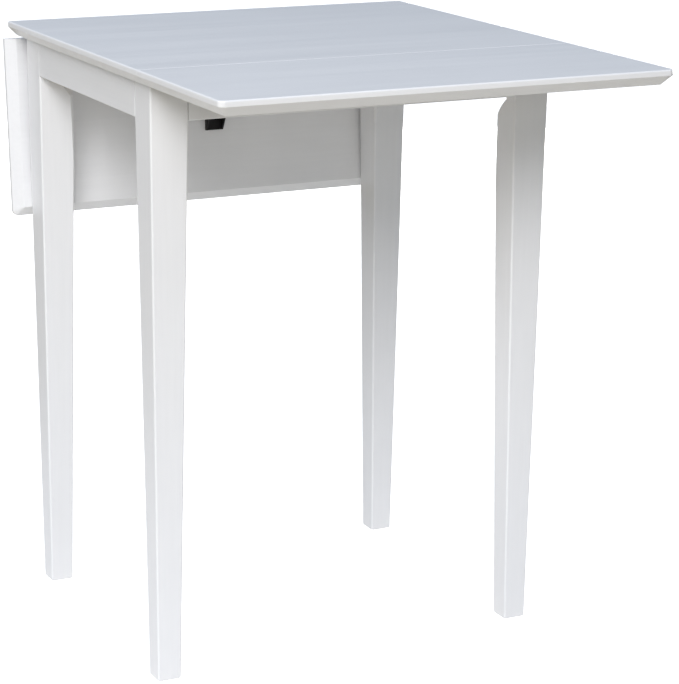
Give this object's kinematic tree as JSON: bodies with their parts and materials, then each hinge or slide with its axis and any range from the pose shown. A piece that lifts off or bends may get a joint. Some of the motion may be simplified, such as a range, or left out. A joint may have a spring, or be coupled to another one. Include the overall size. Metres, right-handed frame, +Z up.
{
  "type": "drop leaf table",
  "caption": "Small rectangular drop leaf table with a fixed centre top, hinged leaves on central folding supports, a low apron and tapered legs.",
  "frame": {"origin": "floor level, at the middle of the table's width and of its depth as it stands, with the front leaf up and the rear leaf hanging", "axes": "+X to the right along the hinge lines, +Y to the rear (the hanging leaf's side), +Z up"},
  "size_m": [0.574, 0.7046, 0.76],
  "materials": {
    "top_paint": "white satin paint over wood, fine grain showing through",
    "base_paint": "white satin paint over wood",
    "bare_wood": "bare planed wood",
    "black_steel": "black semi-gloss coating",
    "zinc_steel": "zinc plated"
  },
  "bodies": {
    "base": {"apron_dowels": "bare_wood", "apron_front": "base_paint", "apron_left": "base_paint", "apron_rear": "base_paint", "apron_right": "base_paint", "base_hinge_screws": "zinc_steel", "brace_screws": "zinc_steel", "centre_top": "top_paint", "clip_screws": "zinc_steel", "corner_brace_front_left": "bare_wood", "corner_brace_front_right": "bare_wood", "corner_brace_rear_left": "bare_wood", "corner_brace_rear_right": "bare_wood", "fixed_arm_screws": "black_steel", "front_support_fixed_arm": "black_steel", "front_support_nut": "black_steel", "front_support_pivot_bolt": "black_steel", "front_support_washers": "black_steel", "hanger_bolts": "zinc_steel", "hanger_nuts": "zinc_steel", "hanger_washers": "zinc_steel", "hinge_front_left_fixed_plate": "zinc_steel", "hinge_front_left_pin": "zinc_steel", "hinge_front_right_fixed_plate": "zinc_steel", "hinge_front_right_pin": "zinc_steel", "hinge_rear_left_fixed_plate": "zinc_steel", "hinge_rear_left_pin": "zinc_steel", "hinge_rear_right_fixed_plate": "zinc_steel", "hinge_rear_right_pin": "zinc_steel", "leg_front_left": "base_paint", "leg_front_right": "base_paint", "leg_rear_left": "base_paint", "leg_rear_right": "base_paint", "rear_support_fixed_arm": "black_steel", "rear_support_nut": "black_steel", "rear_support_pivot_bolt": "black_steel", "rear_support_washers": "black_steel", "top_clips": "zinc_steel", "top_screws": "zinc_steel"},
    "front_leaf_assembly": {"front_leaf": "top_paint", "front_leaf_arm_screws": "black_steel", "front_leaf_hinge_screws": "zinc_steel", "front_support_leaf_arm": "black_steel", "hinge_front_left_leaf_plate": "zinc_steel", "hinge_front_right_leaf_plate": "zinc_steel"},
    "rear_leaf_assembly": {"hinge_rear_left_leaf_plate": "zinc_steel", "hinge_rear_right_leaf_plate": "zinc_steel", "rear_leaf": "top_paint", "rear_leaf_arm_screws": "black_steel", "rear_leaf_hinge_screws": "zinc_steel", "rear_support_leaf_arm": "black_steel"}
  },
  "joints": [
    {"name": "front_leaf_hinge", "type": "hinge", "parent": "base", "child": "front_leaf_assembly", "pos_m": [0, -0.11887, 0.7365], "axis": [1, 0, 0], "range_deg": [0, 94.58]},
    {"name": "rear_leaf_hinge", "type": "hinge", "parent": "base", "child": "rear_leaf_assembly", "pos_m": [0, 0.32893, 0.7365], "axis": [1, 0, 0], "range_deg": [0, 94.58]}
  ]
}
